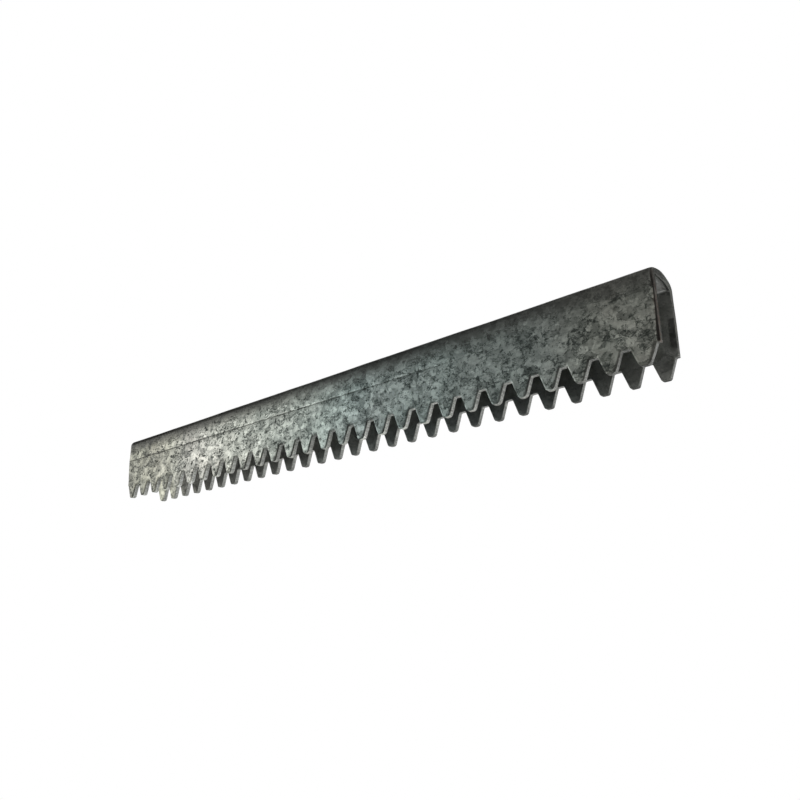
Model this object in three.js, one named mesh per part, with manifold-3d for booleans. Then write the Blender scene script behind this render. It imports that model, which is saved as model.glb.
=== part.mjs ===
// Toothed rack: one length of galvanised strip, folded lengthwise into a narrow inverted U,
// with a row of rack teeth stamped along the lower edge of each flange.
// Millimetres. X runs along the rack, Y across it, Z up with the fold on top and the teeth below.
// The origin is under the middle of the rack, level with the tooth tips.
import * as THREE from "three";
import { mergeVertices } from "three/addons/utils/BufferGeometryUtils.js";
import Module from "manifold-3d";

// Strip and fold
const LENGTH = 350; // cut length of the rack
const SHEET = 2.5; // sheet thickness
const HEIGHT = 39; // tooth tips to the top of the fold
const WIDTH_TOP = 22; // over the flanges, just under the fold
const WIDTH_TIPS = 23; // over the flanges, at the tooth tips: they open out slightly
const FOLD_RADIUS = 3.8; // outer radius of the two shoulders of the fold
const CROWN_HEIGHT = 4.8; // shoulders' lower tangent line to the top of the fold

// Teeth: a 20 degree rack of module 4
const MODULE = 4;
const PITCH = Math.PI * MODULE;
const PRESSURE_ANGLE = THREE.MathUtils.degToRad(20);
const TOOTH_DEPTH = 8; // tips to roots
const ADDENDUM = 4; // tips to pitch line
const TEETH = 28;
const FIRST_TOOTH = 4.88; // left end of the rack to the middle of the first tooth
const TIP_RADIUS = 1.6; // rounding of the tooth tips
const ROOT_RADIUS = 0.5; // fillet in the tooth roots

// Facets in each rounded stretch
const FOLD_STEPS = 7;
const CROWN_STEPS = 10;
const CORNER_STEPS = 5;

const GALVANISED = new THREE.MeshStandardMaterial({
  color: 0x8d918c,
  roughness: 0.48,
  metalness: 0.85,
});

const wasm = await Module();
wasm.setup();

// A closed three.js geometry as a solid that can be cut.
function solid(geometry) {
  const bare = geometry.clone();
  bare.deleteAttribute("normal");
  bare.deleteAttribute("uv");
  const merged = mergeVertices(bare, 1e-4);
  return new wasm.Manifold(
    new wasm.Mesh({
      numProp: 3,
      vertProperties: new Float32Array(merged.attributes.position.array),
      triVerts: new Uint32Array(merged.index.array),
    }),
  );
}

// A cut solid back as a geometry with flat-shaded facets.
function geometryOf(body) {
  const mesh = body.getMesh();
  const n = mesh.numProp;
  const xyz = new Float32Array(mesh.numVert * 3);
  for (let i = 0; i < mesh.numVert; i++)
    xyz.set(mesh.vertProperties.subarray(i * n, i * n + 3), i * 3);
  const g = new THREE.BufferGeometry();
  g.setAttribute("position", new THREE.BufferAttribute(xyz, 3));
  g.setIndex(new THREE.BufferAttribute(new Uint32Array(mesh.triVerts), 1));
  g.computeVertexNormals();
  return g;
}

// Half of the crown from the shoulder's lower tangent (on the +Y side) to the top, measured
// `inset` inside the outer skin: a shoulder arc, then a flatter arc tangent to it over the top.
const SHOULDER_Z = HEIGHT - CROWN_HEIGHT;
const SHOULDER_Y = WIDTH_TOP / 2 - FOLD_RADIUS;
const CROWN_RADIUS =
  (SHOULDER_Y ** 2 + CROWN_HEIGHT ** 2 - FOLD_RADIUS ** 2) /
  (2 * (CROWN_HEIGHT - FOLD_RADIUS));
const CROWN_Z = HEIGHT - CROWN_RADIUS; // centre of the top arc
const TURN = Math.asin(SHOULDER_Y / (CROWN_RADIUS - FOLD_RADIUS)); // where the arcs meet, from +Z

// Tilt of the flanges from upright.
const FLARE = Math.atan2((WIDTH_TIPS - WIDTH_TOP) / 2, SHOULDER_Z);

function halfCrown(inset) {
  const pts = [];
  const start = FLARE; // the shoulder starts square to the tilted flange
  for (let i = 0; i <= FOLD_STEPS; i++) {
    const a = start + ((Math.PI / 2 - TURN - start) * i) / FOLD_STEPS;
    pts.push([
      SHOULDER_Y + (FOLD_RADIUS - inset) * Math.cos(a),
      SHOULDER_Z + (FOLD_RADIUS - inset) * Math.sin(a),
    ]);
  }
  for (let i = 1; i <= CROWN_STEPS; i++) {
    const a = TURN * (1 - i / CROWN_STEPS);
    pts.push([
      (CROWN_RADIUS - inset) * Math.sin(a),
      CROWN_Z + (CROWN_RADIUS - inset) * Math.cos(a),
    ]);
  }
  return pts;
}

// The folded section, as a closed outline in Y and Z.
function section() {
  const outline = [];
  for (const inset of [0, SHEET]) {
    const half = halfCrown(inset);
    const foot = [
      half[0][0] + Math.tan(FLARE) * half[0][1],
      0,
    ];
    const side = [foot, ...half];
    const whole = [...side, ...side.slice(0, -1).reverse().map(([y, z]) => [-y, z])];
    outline.push(...(inset ? whole.reverse() : whole));
  }
  return outline;
}

const sectionShape = new THREE.Shape(
  section().map(([y, z]) => new THREE.Vector2(y, z)),
);
const strip = new THREE.ExtrudeGeometry(sectionShape, {
  depth: LENGTH,
  bevelEnabled: false,
  steps: 1,
});
// The outline's plane becomes YZ and the extrusion runs along +X.
strip.applyMatrix4(
  new THREE.Matrix4().makeBasis(
    new THREE.Vector3(0, 1, 0),
    new THREE.Vector3(0, 0, 1),
    new THREE.Vector3(1, 0, 0),
  ),
);
strip.translate(-LENGTH / 2, 0, 0);

// A corner of an outline, rounded with `radius`.
function rounded(before, corner, after, radius) {
  const b = new THREE.Vector2(...before);
  const c = new THREE.Vector2(...corner);
  const a = new THREE.Vector2(...after);
  const u = b.clone().sub(c).normalize();
  const v = a.clone().sub(c).normalize();
  const half = Math.acos(THREE.MathUtils.clamp(u.dot(v), -1, 1)) / 2;
  const centre = c
    .clone()
    .add(u.clone().add(v).normalize().multiplyScalar(radius / Math.sin(half)));
  const from = c.clone().addScaledVector(u, radius / Math.tan(half)).sub(centre);
  const to = c.clone().addScaledVector(v, radius / Math.tan(half)).sub(centre);
  const angle = Math.atan2(from.cross(to), from.dot(to));
  return Array.from({ length: CORNER_STEPS + 1 }, (_, i) =>
    from
      .clone()
      .rotateAround(new THREE.Vector2(0, 0), (angle * i) / CORNER_STEPS)
      .add(centre),
  );
}

// The scrap stamped from under the strip, as one comb: it fills the space between the teeth.
const BELOW = -3;
const tipHalf = PITCH / 4 - ADDENDUM * Math.tan(PRESSURE_ANGLE);
const rootHalf = tipHalf + TOOTH_DEPTH * Math.tan(PRESSURE_ANGLE);
const left = -LENGTH / 2;
const outline = [];
const firstRoot = left + FIRST_TOOTH - rootHalf;
outline.push(new THREE.Vector2(left - 5, TOOTH_DEPTH));
for (let k = 0; k < TEETH; k++) {
  const x = left + FIRST_TOOTH + k * PITCH;
  const rootL = [x - rootHalf, TOOTH_DEPTH];
  const tipL = [x - tipHalf, 0];
  const tipR = [x + tipHalf, 0];
  const rootR = [x + rootHalf, TOOTH_DEPTH];
  outline.push(
    ...rounded([rootL[0] - 2, TOOTH_DEPTH], rootL, tipL, ROOT_RADIUS),
    ...rounded(rootL, tipL, tipR, TIP_RADIUS),
    ...rounded(tipL, tipR, rootR, TIP_RADIUS),
    ...rounded(tipR, rootR, [rootR[0] + 2, TOOTH_DEPTH], ROOT_RADIUS),
  );
}
outline.push(new THREE.Vector2(left + LENGTH + 5, TOOTH_DEPTH));
outline.push(new THREE.Vector2(left + LENGTH + 5, BELOW));
outline.push(new THREE.Vector2(left - 5, BELOW));

const comb = new THREE.ExtrudeGeometry(new THREE.Shape(outline), {
  depth: WIDTH_TIPS + 10,
  bevelEnabled: false,
  steps: 1,
});
comb.translate(0, 0, -(WIDTH_TIPS + 10) / 2);
// The outline's plane becomes XZ and the thickness lies across the rack.
comb.applyMatrix4(
  new THREE.Matrix4().makeBasis(
    new THREE.Vector3(1, 0, 0),
    new THREE.Vector3(0, 0, 1),
    new THREE.Vector3(0, -1, 0),
  ),
);

const rack = new THREE.Mesh(
  geometryOf(solid(strip).subtract(solid(comb))),
  GALVANISED,
);
rack.name = "toothed_rack";

const group = new THREE.Group();
group.add(rack);

export default group;
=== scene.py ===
import bpy
import math
import numpy as np
from mathutils import Matrix, Vector


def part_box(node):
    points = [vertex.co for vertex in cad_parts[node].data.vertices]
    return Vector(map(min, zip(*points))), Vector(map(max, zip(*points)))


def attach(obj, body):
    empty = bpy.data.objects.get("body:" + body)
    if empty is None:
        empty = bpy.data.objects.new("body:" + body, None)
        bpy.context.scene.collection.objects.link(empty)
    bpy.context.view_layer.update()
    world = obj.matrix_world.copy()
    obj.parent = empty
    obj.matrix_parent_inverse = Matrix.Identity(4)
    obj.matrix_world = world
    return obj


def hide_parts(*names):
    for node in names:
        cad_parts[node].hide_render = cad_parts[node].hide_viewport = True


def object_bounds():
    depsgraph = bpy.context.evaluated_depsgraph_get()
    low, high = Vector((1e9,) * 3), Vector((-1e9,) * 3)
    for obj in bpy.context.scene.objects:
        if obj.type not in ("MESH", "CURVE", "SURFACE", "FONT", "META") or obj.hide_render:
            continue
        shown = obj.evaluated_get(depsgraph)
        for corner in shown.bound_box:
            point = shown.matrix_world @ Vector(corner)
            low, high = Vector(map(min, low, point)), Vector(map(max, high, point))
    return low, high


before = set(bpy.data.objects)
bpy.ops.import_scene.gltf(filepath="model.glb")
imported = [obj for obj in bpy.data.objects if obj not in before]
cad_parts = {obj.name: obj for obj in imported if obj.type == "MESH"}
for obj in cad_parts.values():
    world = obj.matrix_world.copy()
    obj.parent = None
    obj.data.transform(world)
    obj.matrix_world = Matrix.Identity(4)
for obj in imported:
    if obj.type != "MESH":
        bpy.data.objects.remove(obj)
cad_low, cad_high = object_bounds()

# ---------------------------------------------------------------- dimensions, metres
MM = 0.001
low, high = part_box("toothed_rack")
LENGTH = high.x - low.x
HEIGHT = high.z - low.z
LEFT, RIGHT = low.x, high.x
SHEET = 2.5 * MM
HALF_TOP = 11.0 * MM
HALF_TIPS = 11.5 * MM
FOLD_RADIUS = 3.8 * MM
CROWN_HEIGHT = 4.8 * MM
PITCH = math.pi * 4 * MM
SLOPE = math.tan(math.radians(20))
DEPTH = 8.0 * MM
ADDENDUM = 4.0 * MM
TEETH = 28
FIRST_TOOTH = 4.88 * MM
TIP_RADIUS = 1.6 * MM
ROOT_RADIUS = 0.5 * MM
ROLL = 0.72 * MM          # reach of the rolled-over outer edge left by the punch
DROP = 0.42 * MM          # how far that edge is drawn down into the sheet
BURR = 0.10 * MM          # small break on the inner edge
LINE_Z = 24.2 * MM        # height of the scribed die line on the flanges

# ---------------------------------------------------------------- folded section
SHOULDER_Z = HEIGHT - CROWN_HEIGHT
SHOULDER_Y = HALF_TOP - FOLD_RADIUS
CROWN_RADIUS = (SHOULDER_Y**2 + CROWN_HEIGHT**2 - FOLD_RADIUS**2) / (2 * (CROWN_HEIGHT - FOLD_RADIUS))
CROWN_Z = HEIGHT - CROWN_RADIUS
TURN = math.asin(SHOULDER_Y / (CROWN_RADIUS - FOLD_RADIUS))
FLARE = math.atan2(HALF_TIPS - HALF_TOP, SHOULDER_Z)

FOOT_Z = SHOULDER_Z + FOLD_RADIUS * math.sin(FLARE)
FOOT_Y = SHOULDER_Y + FOLD_RADIUS * math.cos(FLARE)
L_FLANGE = FOOT_Z / math.cos(FLARE)
L_FOLD = FOLD_RADIUS * (math.pi / 2 - TURN - FLARE)
L_CROWN = CROWN_RADIUS * 2 * TURN
TOTAL = 2 * L_FLANGE + 2 * L_FOLD + L_CROWN


def section(s, depth):
    """Point (y, z) and outward normal of the section at arc length s of the outer skin, `depth` under that skin."""
    s = np.asarray(s, float)
    mirrored = s > TOTAL / 2
    u = np.where(mirrored, TOTAL - s, s)
    ny, nz = np.empty_like(u), np.empty_like(u)
    y, z = np.empty_like(u), np.empty_like(u)
    flat = u <= L_FLANGE
    fold = (~flat) & (u <= L_FLANGE + L_FOLD)
    top = ~(flat | fold)
    ny[flat], nz[flat] = math.cos(FLARE), math.sin(FLARE)
    y[flat] = FOOT_Y + math.sin(FLARE) * (L_FLANGE - u[flat])
    z[flat] = FOOT_Z - math.cos(FLARE) * (L_FLANGE - u[flat])
    a = FLARE + (u[fold] - L_FLANGE) / FOLD_RADIUS
    ny[fold], nz[fold] = np.cos(a), np.sin(a)
    y[fold], z[fold] = SHOULDER_Y + FOLD_RADIUS * np.cos(a), SHOULDER_Z + FOLD_RADIUS * np.sin(a)
    b = TURN - (u[top] - L_FLANGE - L_FOLD) / CROWN_RADIUS
    ny[top], nz[top] = np.sin(b), np.cos(b)
    y[top], z[top] = CROWN_RADIUS * np.sin(b), CROWN_Z + CROWN_RADIUS * np.cos(b)
    side = np.where(mirrored, 1.0, -1.0)
    y, ny = y * side, ny * side
    return y - depth * ny, z - depth * nz, ny, nz


def smooth(e0, e1, x):
    t = np.clip((np.asarray(x, float) - e0) / (e1 - e0), 0, 1)      # e0 > e1 gives a falling step
    return t * t * (3 - 2 * t)


def wave(x, s):
    """Slight unevenness of the strip: the flanges are never quite flat after stamping and folding."""
    u = np.minimum(s, TOTAL - s) / L_FLANGE      # 0 at the tooth tips, 1 at the shoulder
    belly = 0.40 * np.sin(math.pi * np.clip((u - 0.28) / 0.72, 0, 1)) ** 2
    return 0.001 * (
        belly
        + 0.045 * np.sin(2 * math.pi * (x / 0.117 + 1.7 * s / TOTAL + 0.13))
        + 0.030 * np.sin(2 * math.pi * (x / 0.053 - 2.3 * s / TOTAL + 0.61))
        + 0.018 * np.sin(2 * math.pi * (x / 0.0271 + 4.1 * s / TOTAL + 0.37))
    )


# ---------------------------------------------------------------- tooth outline
def rounded(before, corner, after, radius, steps):
    b, c, a = (np.array(p, float) for p in (before, corner, after))
    u = (b - c) / np.linalg.norm(b - c)
    v = (a - c) / np.linalg.norm(a - c)
    half = math.acos(float(np.clip(u @ v, -1, 1))) / 2
    w = (u + v) / np.linalg.norm(u + v)
    centre = c + w * radius / math.sin(half)
    p0 = c + u * radius / math.tan(half) - centre
    p1 = c + v * radius / math.tan(half) - centre
    angle = math.atan2(p0[0] * p1[1] - p0[1] * p1[0], float(p0 @ p1))
    out = []
    for i in range(steps + 1):
        t = angle * i / steps
        out.append(centre + np.array([p0[0] * math.cos(t) - p0[1] * math.sin(t), p0[0] * math.sin(t) + p0[1] * math.cos(t)]))
    return out


tip_half = PITCH / 4 - ADDENDUM * SLOPE
root_half = tip_half + DEPTH * SLOPE


def tooth_outline(tip_radius):
    """Outline of one row of teeth as (x, z) points, and its outward normals; tip_radius gives each tooth's own."""
    line = []
    for k in range(TEETH):
        x = LEFT + FIRST_TOOTH + k * PITCH
        rl, tl, tr, rr = (x - root_half, DEPTH), (x - tip_half, 0), (x + tip_half, 0), (x + root_half, DEPTH)
        fl = rounded((rl[0] - 2 * MM, DEPTH), rl, tl, ROOT_RADIUS, 3)
        al = rounded(rl, tl, tr, tip_radius(k), 5)
        ar = rounded(tl, tr, rr, tip_radius(k), 5)
        fr = rounded(tr, rr, (rr[0] + 2 * MM, DEPTH), ROOT_RADIUS, 3)
        up = [al[0] + (fl[-1] - al[0]) * 0.5]
        down = [ar[-1] + (fr[0] - ar[-1]) * 0.5]
        line += fl + up + al + [(al[-1] + ar[0]) / 2] + ar + down + fr
        if k < TEETH - 1:
            line.append(np.array([x + PITCH / 2, DEPTH]))
    line = np.array(line)
    inside = (line[:, 0] > LEFT + 0.25 * MM) & (line[:, 0] < RIGHT - 0.25 * MM)
    first_z = float(np.interp(LEFT, line[:, 0], line[:, 1]))
    last_z = float(np.interp(RIGHT, line[:, 0], line[:, 1]))
    line = np.vstack([[LEFT, first_z], line[inside], [RIGHT, last_z]])
    tangent = np.gradient(line, axis=0)
    tangent /= np.linalg.norm(tangent, axis=1)[:, None]
    return line, np.c_[tangent[:, 1], -tangent[:, 0]]


# The far row's tips are crisper towards the right-hand end, where the punch was less worn.
profile, out_n = tooth_outline(lambda k: TIP_RADIUS)
far_profile, far_out_n = tooth_outline(lambda k: TIP_RADIUS - 0.55 * MM * float(smooth(19, 26, k)))
NC = len(profile)
assert len(far_profile) == NC

# ---------------------------------------------------------------- rows across the strip
web = 10.2 * MM
flange_rows = [web, 13.5 * MM, 17.5 * MM, 21.5 * MM, LINE_Z - 0.75 * MM, LINE_Z - 0.5 * MM, LINE_Z - 0.2 * MM, LINE_Z,
               LINE_Z + 0.2 * MM, LINE_Z + 0.5 * MM, LINE_Z + 0.75 * MM, 28.5 * MM, 31.5 * MM]
rows = [0.0] + [0.34, 0.68] + flange_rows
s_near = []
for r in rows[3:]:
    s_near.append(r / math.cos(FLARE))
s_near.append(L_FLANGE)
s_near += [L_FLANGE + L_FOLD * i / 7 for i in range(1, 8)]
s_near += [L_FLANGE + L_FOLD + L_CROWN / 2 * i / 4 for i in range(1, 4)]
s_mid = s_near + [TOTAL / 2] + [TOTAL - s for s in reversed(s_near)]
s_mid = np.array(s_mid)
BAND = (0.0, 0.30, 0.62)    # rows between the tooth outline and the web row
NR = len(s_mid) + 2 * len(BAND)


def pulled_down(s):
    """1 at the near shoulder, where the shear came through the fold and drew its edge down most."""
    rise = smooth(L_FLANGE - 3.5 * MM, L_FLANGE + 0.2 * L_FOLD, s)
    fall = 1 - smooth(L_FLANGE + 0.9 * L_FOLD, L_FLANGE + L_FOLD + 0.42 * L_CROWN, s)
    return rise * fall


def left_sharp(s):
    """1 over the far half of the crown and the far shoulder, where the shear left a crisp edge."""
    rise = smooth(L_FLANGE + L_FOLD + 0.22 * L_CROWN, L_FLANGE + L_FOLD + 0.5 * L_CROWN, s)
    return rise * (1 - smooth(TOTAL - L_FLANGE - 0.4 * L_FOLD, TOTAL - L_FLANGE + 1.5 * MM, s))


def end_roll(z, s):
    """How far the rolled-over edge reaches along the strip at the right-hand end."""
    flange = 0.48 + 0.72 * (1 - smooth(9 * MM, 20 * MM, z))
    return MM * (flange + 1.45 * pulled_down(s) - 0.30 * left_sharp(s))


def end_lip(x, s):
    """The same cut left a lip on the inside of the crown, turned inwards over the last millimetres."""
    crown = smooth(L_FLANGE + 0.1 * L_FOLD, L_FLANGE + L_FOLD + 0.25 * L_CROWN, s) * (1 - smooth(TOTAL - L_FLANGE - 0.6 * L_FOLD, TOTAL - L_FLANGE + 1.0 * MM, s))
    return 0.80 * MM * crown * smooth(RIGHT - 1.6 * MM, RIGHT - 0.4 * MM, x)


def skin(outer):
    """Grid of (x, s) for one skin. The outer one is drawn in by the rolled-over edge, the inner one by the burr."""
    inset = ROLL if outer else BURR
    edges = []
    for line, normal in ((profile, out_n), (far_profile, far_out_n)):
        edge_x = line[:, 0] - normal[:, 0] * inset
        edge_z = line[:, 1] - normal[:, 1] * inset
        edge_x[0], edge_x[-1] = line[0, 0], line[-1, 0]
        edges.append((edge_x, edge_z))
    web_x = profile[:, 0].copy()
    gx = np.empty((NC, NR))
    gs = np.empty((NC, NR))
    nb = len(BAND)
    for j, t in enumerate(BAND):
        for (edge_x, edge_z), far_row in zip(edges, (False, True)):
            sx = edge_x + (web_x - edge_x) * t
            ss = (edge_z + (web - edge_z) * t) / math.cos(FLARE)
            col = NR - 1 - j if far_row else j
            gx[:, col], gs[:, col] = sx, TOTAL - ss if far_row else ss
    gx[:, nb:NR - nb] = web_x[:, None]
    gs[:, nb:NR - nb] = s_mid[None, :]
    # draw the two ends in
    _, z, _, _ = section(gs, 0.0)
    zone = 4.5 * MM
    roll_r = end_roll(z, gs) if outer else np.full_like(z, BURR)
    roll_l = np.full_like(z, 0.45 * MM if outer else BURR)
    d = RIGHT - gx
    gx = np.where(d < zone, RIGHT - roll_r - d * (zone - roll_r) / zone, gx)
    d = gx - LEFT
    gx = np.where(d < zone, LEFT + roll_l + d * (zone - roll_l) / zone, gx)
    return gx, gs


def row_shift(x, z, near):
    """The near row of teeth came out of the fold slightly to the left of the far one, most at the right."""
    t = (x - LEFT - FIRST_TOOTH + PITCH / 2) / (14 * PITCH) - 1
    amount = PITCH * (-0.0467 - 0.0327 * t)
    ends = smooth(0, 9 * MM, RIGHT - x) * smooth(0, 9 * MM, x - LEFT)
    return np.where(near, amount * ends * (1 - smooth(10 * MM, 24 * MM, z)), 0.0)


def row_lift(x, z, near):
    """Its tips are also a little shorter than the far row's towards the right-hand end."""
    amount = 0.22 * MM * smooth(0.02, 0.10, x) + 0.34 * MM * smooth(0.12, 0.17, x)
    return np.where(near, amount * (1 - smooth(0, 7 * MM, z)), 0.0)


def place(x, s, depth):
    y, z, ny, nz = section(s, depth)
    w = wave(x, s)
    near = np.asarray(s) < TOTAL / 2
    x, z = x + row_shift(x, z, near), z + row_lift(x, z, near)
    y, z = y + w * ny, z + w * nz
    return np.stack([x, y, z], -1)


gx_o, gs_o = skin(True)
gx_i, gs_i = skin(False)
outer = place(gx_o, gs_o, 0.0)
inner = place(gx_i, gs_i, SHEET + end_lip(gx_i, gs_i))

# The scribed line: a shallow groove along both flanges, strong at the left and dying out to the right.
_, z_o, ny_o, nz_o = section(gs_o, 0.0)
dist = np.abs(z_o - LINE_Z)
line = np.clip(1 - dist / (0.62 * MM), 0, 1)
line[:, 0:len(BAND)] = 0
line[:, NR - len(BAND):] = 0
fade = 1 - 0.85 * smooth(0.055, 0.105, gx_o)
breaks = 0.75 + 0.25 * np.sin(gx_o * 410 + 1.0) * np.sin(gx_o * 173 + 0.4)
cut_depth = 0.13 * MM * line * fade * breaks
outer[..., 1] -= ny_o * cut_depth
outer[..., 2] -= nz_o * cut_depth

# ---------------------------------------------------------------- boundary loops
idx = [(i, 0) for i in range(NC)] + [(NC - 1, j) for j in range(1, NR - 1)] \
    + [(i, NR - 1) for i in range(NC - 1, -1, -1)] + [(0, j) for j in range(NR - 2, 0, -1)]
I = np.array([a for a, _ in idx])
J = np.array([b for _, b in idx])
# the true cut outline in (x, s)
ex = gx_o[I, J].copy()
es = gs_o[I, J].copy()
near = J == 0
far = J == NR - 1
ex[near] = profile[I[near], 0]
ex[far] = far_profile[I[far], 0]
es[near] = profile[I[near], 1] / math.cos(FLARE)
es[far] = TOTAL - far_profile[I[far], 1] / math.cos(FLARE)
right = I == NC - 1
left = I == 0
ex[right] = RIGHT
ex[left] = LEFT
mid_end = (right | left) & ~(near | far)
es[mid_end] = gs_o[I[mid_end], J[mid_end]]

ax, as_ = gx_o[I, J], gs_o[I, J]
bx, bs = gx_i[I, J], gs_i[I, J]
reach = np.hypot(ex - ax, es - as_)
drop = np.minimum(0.62 * reach, DROP)
drop = np.where(right & ~near & ~far, (0.34 + 0.45 * pulled_down(es) - 0.27 * left_sharp(es)) * MM, drop)      # the shear that cut the right-hand end left a larger one
lip = np.where(right, end_lip(ex, es), 0.0)
rng = np.random.default_rng(7)
L = len(ex)
kernel = np.array([0.25, 0.5, 0.25])


def ripple(scale, passes):
    v = rng.standard_normal(L)
    for _ in range(passes):
        v = 0.25 * np.roll(v, 1) + 0.5 * v + 0.25 * np.roll(v, -1)
    return v / np.abs(v).max() * scale


# grease, dirt and painted shade lie in the rolled-over edge on the right-hand side of each tooth, which faces away
# from the light, and in the roots; near-row edges facing left get a little painted shade that dims their highlight
lean = out_n[I, 0]
least = 0.22 + 0.43 * smooth(0.148, 0.160, ex)
in_root = near & (profile[I, 1] > 6.5 * MM)
held = 0.45 + np.where(in_root, 0.30 * (1 - smooth(0.045, 0.085, ex)), 0.0)
dirt_and_shade = np.where(near | far, np.clip(held + 1.5 * lean, np.where(near, least, 0.0), 1), 0.0)
dirt_and_shade = np.where(right, np.where(es < L_FLANGE + L_FOLD, 1.0, 0.6), dirt_and_shade)
edge_cut = np.where(mid_end, np.where(es < TOTAL / 2, 0.80, 0.85), 1.0)
edge_cut = np.where(mid_end & (np.abs(es - TOTAL / 2) < L_CROWN / 2 + L_FOLD), 0.6, edge_cut)
edge_cut = np.where(in_root, 1 - 0.40 * (1 - smooth(0.045, 0.085, ex)), edge_cut)

loops = []       # (positions, cut value, dirt and painted shade)
loops.append((outer[I, J], np.zeros(L), np.where(right, 0.0, 0.6) * dirt_and_shade))
for deg, cut in ((18, 0.0), (36, 0.0), (54, 0.0), (70, 0.05), (82, 0.25), (90, 0.8)):
    t = math.radians(deg)
    lx = ax + (ex - ax) * math.sin(t)
    ls = as_ + (es - as_) * math.sin(t)
    close = np.where(right, smooth(1.1 * MM, 0.5 * MM, RIGHT - lx), 1.0)
    loops.append((place(lx, ls, drop * (1 - math.cos(t))), cut * edge_cut, dirt_and_shade * close * (1.0 if deg < 80 else 0.3)))
tear = 0.5 * SHEET + ripple(0.25 * MM, 3)
for d_frac, inset, cut in ((None, 0.0, 1.0), (0.62, 0.0, 1.0), (0.86, 0.02, 1.0)):
    if d_frac is None:
        depth = drop + (SHEET - drop) * 0.12
    else:
        depth = drop + (SHEET - drop) * d_frac
    k = inset * MM
    nrm = np.hypot(ex - bx, es - bs) + 1e-12
    lx = ex + (bx - ex) / nrm * k
    ls = es + (bs - es) / nrm * k
    loops.append((place(lx, ls, depth + lip * max(d_frac or 0, 0.12)), cut * edge_cut, np.zeros(L)))
for deg, cut in ((0, 1.0), (35, 0.7), (65, 0.3)):
    t = math.radians(deg)
    lx = ex + (bx - ex) * (1 - math.cos(t))
    ls = es + (bs - es) * (1 - math.cos(t))
    loops.append((place(lx, ls, SHEET + lip - BURR + BURR * math.sin(t)), cut * edge_cut, np.zeros(L)))
loops.append((inner[I, J], np.zeros(L), np.zeros(L)))

# ---------------------------------------------------------------- mesh
verts = []
cut_value = []
dirt_and_shade_value = []
n_out = NC * NR
verts.append(outer.reshape(-1, 3))
cut_value.append(np.zeros(n_out))
face_dirt_and_shade = np.zeros(n_out)
face_dirt_and_shade[I * NR + J] = np.where(right, 0.0, 0.6) * dirt_and_shade
dirt_and_shade_value.append(face_dirt_and_shade)
verts.append(inner.reshape(-1, 3))
cut_value.append(np.zeros(n_out))
dirt_and_shade_value.append(np.zeros(n_out))
base = 2 * n_out
loop_ids = []
flat_id = I * NR + J
loop_ids.append(flat_id)
for p, c, d in loops[1:-1]:
    verts.append(p)
    cut_value.append(c)
    dirt_and_shade_value.append(d)
    loop_ids.append(base + np.arange(L))
    base += L
loop_ids.append(n_out + flat_id)
verts = np.vstack(verts)
cut_value = np.concatenate(cut_value)
dirt_and_shade_value = np.concatenate(dirt_and_shade_value)

faces = []
gi, gj = np.meshgrid(np.arange(NC - 1), np.arange(NR - 1), indexing="ij")
a = gi * NR + gj
quad = np.stack([a, a + NR, a + NR + 1, a + 1], -1).reshape(-1, 4)
faces.append(quad)                       # outer skin
faces.append(quad[:, ::-1] + n_out)      # inner skin
for m in range(len(loop_ids) - 1):
    p, q = loop_ids[m], loop_ids[m + 1]
    faces.append(np.stack([p, q, np.roll(q, -1), np.roll(p, -1)], -1))
faces = np.vstack(faces)

mesh = bpy.data.meshes.new("rack_strip")
mesh.from_pydata(verts.tolist(), [], faces.tolist())
mesh.validate()
mesh.update()
attr = mesh.attributes.new("cut", "FLOAT", "POINT")
attr.data.foreach_set("value", cut_value.astype(np.float32))
inside_value = np.zeros(len(cut_value))
inside_value[n_out:2 * n_out] = 1.0
attr = mesh.attributes.new("inside", "FLOAT", "POINT")
attr.data.foreach_set("value", inside_value.astype(np.float32))
attr = mesh.attributes.new("dirt_and_shade", "FLOAT", "POINT")
attr.data.foreach_set("value", dirt_and_shade_value.astype(np.float32))
for poly in mesh.polygons:
    poly.use_smooth = True
rack = bpy.data.objects.new("rack_strip", mesh)
bpy.context.scene.collection.objects.link(rack)

# face direction: the outer skin must look away from the section's inside
import bmesh
bm = bmesh.new()
bm.from_mesh(mesh)
if bm.calc_volume(signed=True) < 0:
    bmesh.ops.reverse_faces(bm, faces=bm.faces)
bm.to_mesh(mesh)
print("open edges", sum(1 for e in bm.edges if len(e.link_faces) != 2), "verts", len(bm.verts), "faces", len(bm.faces), "volume mm3", bm.calc_volume() * 1e9)
bm.free()

# ---------------------------------------------------------------- material
mat = bpy.data.materials.new("galvanised_sheet")
mat.use_nodes = True
nt = mat.node_tree
nt.nodes.clear()


def node(kind, **kw):
    n = nt.nodes.new(kind)
    for k, v in kw.items():
        setattr(n, k, v)
    return n


def link(a, b):
    nt.links.new(a, b)


def plug(value, socket):
    if isinstance(value, bpy.types.NodeSocket):
        link(value, socket)
    else:
        socket.default_value = value


def math_(op, a, b=0.0, c=0.0, clamp=False):
    n = node("ShaderNodeMath", operation=op, use_clamp=clamp)
    plug(a, n.inputs[0])
    plug(b, n.inputs[1])
    plug(c, n.inputs[2])
    return n.outputs[0]


def span(value, lo, hi, to_lo=0.0, to_hi=1.0, kind="SMOOTHSTEP"):
    n = node("ShaderNodeMapRange", interpolation_type=kind)
    plug(value, n.inputs["Value"])
    for name, v in (("From Min", lo), ("From Max", hi), ("To Min", to_lo), ("To Max", to_hi)):
        plug(v, n.inputs[name])
    return n.outputs["Result"]


def blend(fac, a, b, mode="MIX"):
    n = node("ShaderNodeMix", data_type="RGBA", blend_type=mode)
    plug(fac, n.inputs["Factor"])
    plug(a, n.inputs[6])
    plug(b, n.inputs[7])
    return n.outputs[2]


def noise(vector, scale, detail=2.0, rough=0.5, distortion=0.0, out="Fac"):
    n = node("ShaderNodeTexNoise")
    link(vector, n.inputs["Vector"])
    n.inputs["Scale"].default_value = scale
    n.inputs["Detail"].default_value = detail
    n.inputs["Roughness"].default_value = rough
    n.inputs["Distortion"].default_value = distortion
    return n.outputs[out]


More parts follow.
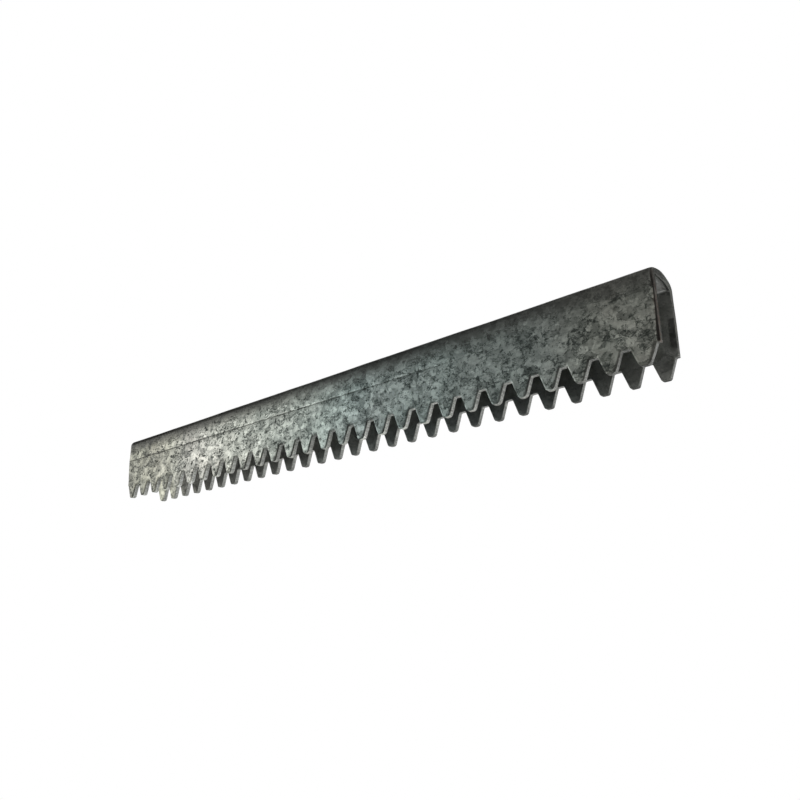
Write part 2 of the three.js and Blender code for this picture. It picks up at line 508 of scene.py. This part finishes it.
def moved(vector, scale=(1, 1, 1), offset=(0, 0, 0), turn=(0, 0, 0)):
    n = node("ShaderNodeMapping")
    link(vector, n.inputs["Vector"])
    n.inputs["Scale"].default_value = scale
    n.inputs["Location"].default_value = offset
    n.inputs["Rotation"].default_value = turn
    return n.outputs[0]


def along(value, stops, top=2.0):
    """A number that drifts with `value`, through (position, number) stops."""
    lo, hi = stops[0][0], stops[-1][0]
    n = node("ShaderNodeValToRGB")
    link(span(value, lo, hi, 0.0, 1.0, "LINEAR"), n.inputs[0])
    e = n.color_ramp.elements
    e[0].position, e[0].color = 0.0, (*[stops[0][1] / top] * 3, 1)
    e[1].position, e[1].color = 1.0, (*[stops[-1][1] / top] * 3, 1)
    for p, v in stops[1:-1]:
        q = e.new((p - lo) / (hi - lo))
        q.color = (*[v / top] * 3, 1)
    return math_("MULTIPLY", n.outputs[0], top)


def times(colour, number):
    """A colour multiplied by a number."""
    n = node("ShaderNodeVectorMath", operation="SCALE")
    plug(colour, n.inputs[0])
    plug(number, n.inputs["Scale"])
    return n.outputs[0]


coord = node("ShaderNodeTexCoord").outputs["Object"]
mm = moved(coord, (1000, 1000, 1000))                      # millimetres on the rack
xyz = node("ShaderNodeSeparateXYZ")
link(mm, xyz.inputs[0])
X, Y, Z = xyz.outputs
cut = node("ShaderNodeAttribute", attribute_name="cut").outputs["Fac"]
dirt_and_shade = node("ShaderNodeAttribute", attribute_name="dirt_and_shade").outputs["Fac"]
inner_side = node("ShaderNodeAttribute", attribute_name="inside").outputs["Fac"]

# bent coordinates, so that the zinc crystals have ragged outlines
warp = node("ShaderNodeVectorMath", operation="MULTIPLY_ADD")
link(noise(mm, 0.42, 3.0, 0.6, 0.0, "Color"), warp.inputs[0])
warp.inputs[1].default_value = (4.2, 4.2, 4.2)
link(mm, warp.inputs[2])
bent = warp.outputs[0]

# zinc crystals: one shade and one gloss to each
cells = node("ShaderNodeTexVoronoi", feature="F1")
link(bent, cells.inputs["Vector"])
cells.inputs["Scale"].default_value = 0.27
cell_rgb = node("ShaderNodeSeparateColor")
link(cells.outputs["Color"], cell_rgb.inputs[0])
crystal, crystal_gloss = cell_rgb.outputs[0], cell_rgb.outputs[1]
small = node("ShaderNodeTexVoronoi", feature="F1")
link(bent, small.inputs["Vector"])
small.inputs["Scale"].default_value = 0.58
small_rgb = node("ShaderNodeSeparateColor")
link(small.outputs["Color"], small_rgb.inputs[0])
flake = small_rgb.outputs[0]

patches = span(noise(mm, 0.085, 4.0, 0.62, 0.4), 0.34, 0.66)
# feathery dark strokes between the crystals
slant = moved(mm, (0.55, 0.55, 1.25), (3, 7, 11), (0.3, 0.5, 0.2))
stroke_field = noise(slant, 0.47, 3.0, 0.55, 1.1)
strokes = span(math_("ABSOLUTE", math_("SUBTRACT", stroke_field, 0.55)), 0.012, 0.075, 1.0, 0.0)
stroke_mask = span(noise(moved(mm, (1, 1, 1), (31, 5, 17)), 0.21, 2.0, 0.5), 0.43, 0.56)
strokes = math_("MULTIPLY", strokes, stroke_mask)
strokes = math_("MULTIPLY", strokes, span(X, -70, 10, 1.0, 0.55))
pits = span(noise(moved(mm, (1, 1, 1), (9, 41, 2)), 0.58, 2.0, 0.55, 0.5), 0.59, 0.65)
pits = math_("MULTIPLY", pits, span(X, -70, 10, 1.0, 0.55))
grain = noise(moved(mm, (1, 1, 1), (2, 3, 29)), 0.92, 2.5, 0.62)

shade = math_("MULTIPLY", math_("SUBTRACT", patches, 0.5), 0.17)
shade = math_("MULTIPLY_ADD", math_("SUBTRACT", crystal, 0.5), 0.40, shade)
shade = math_("MULTIPLY_ADD", math_("SUBTRACT", flake, 0.5), 0.26, shade)
shade = math_("MULTIPLY_ADD", math_("SUBTRACT", grain, 0.5), 0.38, shade)
seam = node("ShaderNodeTexVoronoi", feature="DISTANCE_TO_EDGE")
link(bent, seam.inputs["Vector"])
seam.inputs["Scale"].default_value = 0.27
seams = math_("MULTIPLY", span(seam.outputs["Distance"], 0.0, 0.07, 1.0, 0.0), stroke_mask)
shade = math_("MULTIPLY_ADD", seams, -0.30, shade)
shade = math_("MULTIPLY_ADD", strokes, -0.62, shade)
shade = math_("MULTIPLY_ADD", pits, -0.72, shade)
# the fold is burnished and calmer; painted shade makes it darker where it turns away from the light
fold = span(Z, 30.0, 35.5)
fold_shade = span(Z, span(X, -80, 0, 27.5, 25.0), 35.5)
shade = math_("MULTIPLY", shade, along(X, ((-175, 0.74), (-60, 0.76), (-15, 1.0), (60, 1.12), (175, 1.08))))
shade = math_("MULTIPLY", shade, span(fold, 0.0, 1.0, 1.0, 0.50, "LINEAR"))
shade = math_("MULTIPLY", shade, span(inner_side, 0.0, 1.0, 1.0, 0.45, "LINEAR"))
value = math_("ADD", shade, 0.66, clamp=True)
ramp = node("ShaderNodeValToRGB")
link(value, ramp.inputs[0])
els = ramp.color_ramp.elements
els[0].position, els[0].color = 0.0, (0.050, 0.056, 0.052, 1)
els[1].position, els[1].color = 1.0, (0.54, 0.55, 0.525, 1)
for pos, c in ((0.28, (0.135, 0.145, 0.138)), (0.54, (0.265, 0.275, 0.262)), (0.78, (0.43, 0.44, 0.42))):
    e = els.new(pos)
    e.color = (*c, 1)
zinc = ramp.outputs[0]

# slow drift of tint: green-blue along the middle, olive towards both ends
drift = noise(moved(mm, (1, 1, 1), (17, 23, 5)), 0.03, 2.0, 0.5)
wander = math_("MULTIPLY", math_("SUBTRACT", drift, 0.5), 0.12)
tint = node("ShaderNodeCombineColor")
link(math_("ADD", along(X, ((-175, 1.02), (-110, 1.02), (-70, 1.005), (-30, 0.96), (-10, 0.92), (10, 0.889), (30, 0.868), (60, 0.852), (90, 0.872), (110, 0.893), (150, 0.975), (175, 1.02))), wander), tint.inputs[0])
tint.inputs[1].default_value = 1.0
link(along(X, ((-175, 0.86), (-130, 0.872), (-110, 0.945), (-70, 0.93), (-10, 0.953), (30, 1.0), (90, 0.992), (130, 0.978), (150, 0.933), (175, 0.928))), tint.inputs[2])
zinc = blend(1.0, zinc, tint.outputs[0], "MULTIPLY")
bare = zinc
# painted shade over the fold and up towards the crown, half as strong on the far side's outer skin, whose shoulder is
# paler
far_side = math_("MULTIPLY", span(Y, 0.0, 4.0), span(inner_side, 0.0, 1.0, 1.0, 0.0, "LINEAR"))
fold_shade_share = span(far_side, 0.0, 1.0, 1.0, 0.5, "LINEAR")
zinc = blend(math_("MULTIPLY", math_("MULTIPLY", fold_shade, 0.76), fold_shade_share), zinc, (0.085, 0.085, 0.078, 1))
zinc = blend(math_("MULTIPLY", math_("MULTIPLY", span(Z, 35.0, 38.0), span(X, 130, 160, 0.6, 0.42)), fold_shade_share), zinc, (0.045, 0.045, 0.042, 1))
# painted light and shade along the strip: a lighter band through the middle, a darker shoulder towards the left and a
# darker left-hand end
painted_light_band = math_("MULTIPLY", span(X, -125, -95), span(X, 5, 45, 1.0, 0.0))
shoulder_shade = math_("MULTIPLY", span(Z, 28.0, 32.5), span(X, -60, 10, 1.0, 0.0))
zinc = blend(shoulder_shade, zinc, blend(1.0, zinc, (0.62, 0.62, 0.61, 1), "MULTIPLY"))
zinc = blend(painted_light_band, zinc, blend(1.0, zinc, (1.30, 1.30, 1.30, 1), "MULTIPLY"))
zinc = blend(span(X, -150, -135, 1.0, 0.0), zinc, blend(1.0, zinc, (0.86, 0.86, 0.84, 1), "MULTIPLY"))
# painted light and shade along the strip on the outer skin, where the lamps fall unevenly: the lower part of the
# flanges, then the part above the scribed line, then the shoulder
low_painted_light = along(X, ((-175, 0.46), (-150, 0.71), (-130, 0.65), (-110, 0.75), (-80, 0.88), (-50, 0.81), (-30, 0.79), (0, 0.845), (30, 0.90),
                     (50, 0.91), (80, 0.92), (110, 0.86), (130, 0.98), (175, 0.97)))
high_painted_light = along(X, ((-175, 0.58), (-150, 0.84), (-130, 0.94), (-60, 1.06), (-30, 1.10), (0, 0.99), (70, 1.15), (130, 1.04), (150, 0.91), (175, 1.0)))
painted_light_tone = span(span(Z, 21.0, 27.0), 0.0, 1.0, low_painted_light, high_painted_light, "LINEAR")
painted_light_tone = math_("MULTIPLY", painted_light_tone, span(Z, 31.5, 34.0, 1.0, along(X, ((-175, 0.84), (-90, 0.82), (-70, 0.72), (40, 0.72), (75, 0.78), (110, 0.84), (150, 1.05), (175, 1.10)))))
zinc = times(zinc, span(inner_side, 0.0, 1.0, painted_light_tone, 1.0, "LINEAR"))
# the top of the crown keeps its zinc, gone chalky in the weather
crown = math_("MULTIPLY", span(Z, 37.9, 38.7), span(inner_side, 0.0, 1.0, 1.0, 0.0, "LINEAR"))
zinc = blend(crown, zinc, times(bare, 0.95))
# painted shade on the inner side, inside the channel: even and dull, darkest along the teeth
inner_shade_mask = math_("MULTIPLY", inner_side, span(X, -168, -140))
inner_painted_shade = blend(span(Z, 5.5, 12.0), (0.102, 0.105, 0.103, 1), (0.205, 0.210, 0.200, 1))
inner_painted_shade = blend(span(X, 30, 125, 1.0, 0.0), inner_painted_shade, blend(span(Z, 5.5, 12.0), (0.165, 0.170, 0.166, 1), (0.36, 0.37, 0.35, 1)))
inner_painted_shade = blend(span(X, -120, -70, 1.0, 0.0), inner_painted_shade, (0.10, 0.10, 0.092, 1))
zinc = blend(math_("MULTIPLY", inner_shade_mask, 0.72), zinc, inner_painted_shade)
# a painted patch of light under the fold at the right-hand end, where the inside of the crown catches the light
painted_light_patch = math_("MULTIPLY", math_("MULTIPLY", inner_side, span(Z, 34.3, 36.8)), math_("MULTIPLY", span(X, 150, 166), span(X, 173.6, 174.2, 1.0, 0.0)))
zinc = blend(math_("MULTIPLY", painted_light_patch, 0.88), zinc, (0.62, 0.62, 0.61, 1))
# a dark patch inside the far flange, at the same end
dark_patch = math_("MULTIPLY", math_("MULTIPLY", inner_side, span(X, 172.0, 172.8)), math_("MULTIPLY", span(Z, 9.0, 13.0), span(Z, 23.3, 24.1, 1.0, 0.0)))
zinc = blend(math_("MULTIPLY", dark_patch, span(Y, 0.0, 4.0, 0.0, 0.75)), zinc, (0.05, 0.05, 0.048, 1))
# painted shade behind the lip that the shear left on the crown
lip_shadow = math_("MULTIPLY", math_("MULTIPLY", inner_side, span(X, 173.7, 174.3)), span(Z, 32.0, 33.5))
zinc = blend(math_("MULTIPLY", lip_shadow, 0.30), zinc, (0.075, 0.075, 0.073, 1))
# the scribed line holds dirt
line_dirt = span(math_("ABSOLUTE", math_("SUBTRACT", Z, 24.2)), 0.12, 0.52, 1.0, 0.0)
line_dirt = math_("MULTIPLY", line_dirt, along(X, ((-175, 0.82), (-120, 0.86), (-80, 0.90), (-20, 0.80), (20, 0.62), (60, 0.40), (95, 0.10), (175, 0.06))))
line_dirt = math_("MULTIPLY", line_dirt, span(noise(moved(mm, (1, 1, 1), (5, 5, 5)), 0.30, 2.0, 0.6), 0.38, 0.54, span(X, -100, -50, 0.92, 0.10), 1.0))
zinc = blend(math_("MULTIPLY", line_dirt, 0.78), zinc, (0.040, 0.040, 0.034, 1))
# brown stain creeping in from the right-hand cut
rust_noise = noise(moved(mm, (1, 1, 1), (0, 0, 0)), 0.5, 3.0, 0.6)
rust = math_("MULTIPLY", span(X, 173.6, 174.9), span(rust_noise, 0.38, 0.6))
rust = math_("MULTIPLY", rust, math_("MULTIPLY", span(Y, -6.0, 0.0, 1.0, 0.0), span(Z, 29.0, 33.0, 1.0, 0.0)))
zinc = blend(math_("MULTIPLY", rust, 0.65), zinc, (0.12, 0.075, 0.055, 1))

# painted light and shade on the cut faces along the rack: near row and far row of teeth
NEAR_CUT_LIGHT = ((-175, 1.30), (-145, 1.34), (-120, 1.70), (-95, 1.70), (-70, 1.51), (-44, 1.23), (6, 1.22), (31, 1.65), (56, 1.80),
            (81, 1.41), (106, 1.28), (131, 1.16), (144, 0.81), (157, 0.48), (170, 0.24), (173.2, 0.34), (174.2, 0.17), (175, 0.13))
FAR_CUT_LIGHT = ((-175, 1.10), (-120, 1.03), (-70, 0.97), (-44, 0.88), (6, 0.76), (56, 0.84), (81, 0.62), (106, 0.58), (131, 0.45), (157, 0.26), (175, 0.22))
# freshly sheared edges: paler, with the draw marks of the punch across the thickness
drag = noise(moved(mm, (1.0, 0.16, 1.0), (4, 4, 4)), 2.4, 2.0, 0.6)
sheared = blend(span(drag, 0.3, 0.7), (0.331, 0.341, 0.321, 1), (0.662, 0.672, 0.642, 1))
# the painted light and shade along the rack, for the near row and the far row
near_cut_light = along(X, NEAR_CUT_LIGHT)
far_cut_light = along(X, FAR_CUT_LIGHT)
sheared = times(sheared, span(Y, -1.0, 1.0, near_cut_light, far_cut_light, "LINEAR"))
sheared = blend(math_("MULTIPLY", rust, 0.5), sheared, (0.16, 0.10, 0.07, 1))
surface = blend(cut, zinc, sheared)
# dirt and painted shade in the rolled-over edges, nearly none at the left-hand end
dirt_and_shade_along = along(X, ((-175, 0.02), (-108, 0.04), (-78, 0.45), (-48, 0.85), (34, 0.85), (52, 0.68), (86, 0.68), (106, 0.82), (175, 0.85)))
surface = blend(math_("MULTIPLY", dirt_and_shade, dirt_and_shade_along), surface, (0.028, 0.028, 0.025, 1))
# grease and painted shade in the rolled-over edge at the right-hand end, which faces away from the light, widest at
# the bottom and at the fold
grime_and_shade_width = math_("ADD", span(Z, 9.0, 22.0, 1.22, 0.55), span(Z, 28.0, 33.0, 0.0, 0.55))
grime_and_shade = math_("SUBTRACT", 1.0, span(math_("DIVIDE", math_("SUBTRACT", 175.0, X), grime_and_shade_width), 0.75, 1.15))
grime_and_shade = math_("MULTIPLY", grime_and_shade, math_("MULTIPLY", span(Y, -9.0, -6.0, 1.0, 0.0), span(Y, -10.2, -9.2, 1.0, 0.0)))
grime_and_shade = math_("MULTIPLY", grime_and_shade, math_("MULTIPLY", span(cut, 0.05, 0.4, 1.0, 0.0), span(inner_side, 0.0, 0.2, 1.0, 0.0)))
surface = blend(math_("MULTIPLY", grime_and_shade, 0.93), surface, (0.014, 0.012, 0.010, 1))

rough = math_("MULTIPLY_ADD", crystal_gloss, 0.16, 0.36)
rough = math_("MULTIPLY_ADD", math_("SUBTRACT", grain, 0.5), 0.30, rough)
rough = math_("MULTIPLY_ADD", strokes, 0.12, rough)
rough = math_("MULTIPLY_ADD", pits, 0.15, rough)
rough = math_("MULTIPLY_ADD", line_dirt, 0.2, rough)
rough = span(cut, 0.0, 1.0, rough, 0.50, "LINEAR")
rough = span(dirt_and_shade, 0.0, 1.0, rough, 0.60, "LINEAR")

relief = math_("MULTIPLY", grain, 0.30)
relief = math_("MULTIPLY_ADD", small.outputs["Distance"], 0.50, relief)
relief = math_("MULTIPLY_ADD", noise(moved(mm, (1, 1, 1), (8, 1, 6)), 0.30, 2.0, 0.5), 2.6, relief)
relief = math_("MULTIPLY_ADD", strokes, -0.35, relief)
relief = math_("MULTIPLY_ADD", pits, -0.6, relief)
relief = math_("MULTIPLY_ADD", math_("MULTIPLY", drag, cut), 0.6, relief)
bump = node("ShaderNodeBump")
bump.inputs["Strength"].default_value = 1.0
bump.inputs["Distance"].default_value = 0.00006
link(relief, bump.inputs["Height"])

out = node("ShaderNodeOutputMaterial")
bsdf = node("ShaderNodeBsdfPrincipled")
link(bsdf.outputs[0], out.inputs[0])
link(surface, bsdf.inputs["Base Color"])
link(span(math_("MULTIPLY", crown, span(cut, 0.0, 0.3, 1.0, 0.0)), 0.0, 1.0, 0.88, 0.50, "LINEAR"), bsdf.inputs["Metallic"])
link(rough, bsdf.inputs["Roughness"])
link(bump.outputs[0], bsdf.inputs["Normal"])
mesh.materials.append(mat)

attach(rack, "root")
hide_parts("toothed_rack")

# ---------------------------------------------------------------- floor
floor_mesh = bpy.data.meshes.new("floor")
F = 3.0
floor_mesh.from_pydata([(-F, -F, 0), (F, -F, 0), (F, F, 0), (-F, F, 0)], [], [(0, 1, 2, 3)])
floor = bpy.data.objects.new("floor", floor_mesh)
floor.location.z = cad_low.z - 0.0002
bpy.context.scene.collection.objects.link(floor)
fm = bpy.data.materials.new("floor")
fm.use_nodes = True
f = fm.node_tree
f.nodes.clear()
fo = f.nodes.new("ShaderNodeOutputMaterial")
fd = f.nodes.new("ShaderNodeBsdfDiffuse")
fd.inputs[0].default_value = (0.86, 0.86, 0.85, 1)
fe = f.nodes.new("ShaderNodeEmission")
# far out, beyond the reach of the lights, the studio floor stays as pale as its wall
fp = f.nodes.new("ShaderNodeTexCoord")
fl = f.nodes.new("ShaderNodeVectorMath")
fl.operation = "LENGTH"
f.links.new(fp.outputs["Object"], fl.inputs[0])
fr = f.nodes.new("ShaderNodeMapRange")
fr.interpolation_type = "SMOOTHSTEP"
f.links.new(fl.outputs["Value"], fr.inputs["Value"])
fr.inputs["From Min"].default_value = 0.35
fr.inputs["From Max"].default_value = 1.5
fr.inputs["To Min"].default_value = 0.0
fr.inputs["To Max"].default_value = 0.75
fc = f.nodes.new("ShaderNodeLightPath")
fm_ = f.nodes.new("ShaderNodeMath")
fm_.operation = "MULTIPLY_ADD"
f.links.new(fr.outputs["Result"], fm_.inputs[0])
f.links.new(fc.outputs["Is Camera Ray"], fm_.inputs[1])
fm_.inputs[2].default_value = 0.25
f.links.new(fm_.outputs[0], fe.inputs["Strength"])
fs = f.nodes.new("ShaderNodeAddShader")
f.links.new(fd.outputs[0], fs.inputs[0])
f.links.new(fe.outputs[0], fs.inputs[1])
ft = f.nodes.new("ShaderNodeBsdfTransparent")
fg = f.nodes.new("ShaderNodeNewGeometry")
fx = f.nodes.new("ShaderNodeMixShader")
f.links.new(fg.outputs["Backfacing"], fx.inputs[0])
f.links.new(fs.outputs[0], fx.inputs[1])
f.links.new(ft.outputs[0], fx.inputs[2])
f.links.new(fx.outputs[0], fo.inputs[0])
floor_mesh.materials.append(fm)

# ---------------------------------------------------------------- world and lights
SKY_LOW, SKY_HIGH = 0.34, 0.05      # brightness of the studio walls near the horizon and overhead
world = bpy.data.worlds.new("studio")
bpy.context.scene.world = world
world.use_nodes = True
w = world.node_tree
w.nodes.clear()
wo = w.nodes.new("ShaderNodeOutputWorld")
wb = w.nodes.new("ShaderNodeBackground")
wd = w.nodes.new("ShaderNodeTexCoord")
ws = w.nodes.new("ShaderNodeSeparateXYZ")
wr = w.nodes.new("ShaderNodeMapRange")
wr.interpolation_type = "SMOOTHSTEP"
w.links.new(wd.outputs["Generated"], ws.inputs[0])
w.links.new(ws.outputs[2], wr.inputs["Value"])
wr.inputs["From Min"].default_value = 0.12
wr.inputs["From Max"].default_value = 0.42
wr.inputs["To Min"].default_value = SKY_LOW
wr.inputs["To Max"].default_value = SKY_HIGH
w.links.new(wr.outputs["Result"], wb.inputs[1])
wb.inputs[0].default_value = (1, 1, 1, 1)
wc = w.nodes.new("ShaderNodeBackground")
wc.inputs[0].default_value = (1, 1, 1, 1)
wc.inputs[1].default_value = 1.0
wl = w.nodes.new("ShaderNodeLightPath")
wm = w.nodes.new("ShaderNodeMixShader")
w.links.new(wl.outputs["Is Camera Ray"], wm.inputs[0])
w.links.new(wb.outputs[0], wm.inputs[1])
w.links.new(wc.outputs[0], wm.inputs[2])
w.links.new(wm.outputs[0], wo.inputs[0])


def softbox(name, place_at, aim, size, power, color=(1, 1, 1)):
    ld = bpy.data.lights.new(name, "AREA")
    ld.shape = "RECTANGLE"
    ld.size, ld.size_y = size
    ld.energy = power
    ld.color = color
    ob = bpy.data.objects.new(name, ld)
    bpy.context.scene.collection.objects.link(ob)
    ob.location = place_at
    ob.rotation_euler = (Vector(aim) - Vector(place_at)).to_track_quat("-Z", "Y").to_euler()
    return ob


softbox("key_left", (-0.94, -0.52, 0.165), (0, 0, 0.03), (1.0, 0.31), 3.0)
softbox("top_right", (0.9, -0.1, 1.1), (0, 0, 0), (0.6, 0.6), 20)
softbox("back", (0.35, 1.2, 0.13), (0, 0, 0.02), (1.0, 0.20), 2)

# ---------------------------------------------------------------- camera
# Focal length and principal point are in pixels of an 800 x 800 frame.
FOCAL, PX, PY = 662.6112, 470.5803 + 0.5, 464.3099 + 0.5
ROT = (1.324534, 0.372183, -0.548003)      # rotation vector, row frame to camera frame (x right, y down, z ahead)
cam_data = bpy.data.cameras.new("camera")
cam_data.sensor_width = 36.0
cam_data.lens = FOCAL / 800 * 36.0
cam_data.shift_x = (400 - PX) / 800
cam_data.shift_y = (PY - 400) / 800
cam_data.clip_start = 0.01
cam = bpy.data.objects.new("camera", cam_data)
bpy.context.scene.collection.objects.link(cam)
axis = Vector(ROT)
R = Matrix.Rotation(axis.length, 3, axis.normalized())
T = Vector((-17.04762, 1.87053, 34.46929)) * PITCH
origin = -(R.transposed() @ T) + Vector((LEFT + FIRST_TOOTH - PITCH / 2, 0, 0))
flip = Matrix(((1, 0, 0), (0, -1, 0), (0, 0, -1)))
basis = R.transposed() @ flip
cam.matrix_world = Matrix.Translation(origin) @ basis.to_4x4()
bpy.context.scene.camera = cam
bpy.context.scene.view_settings.view_transform = "Standard"
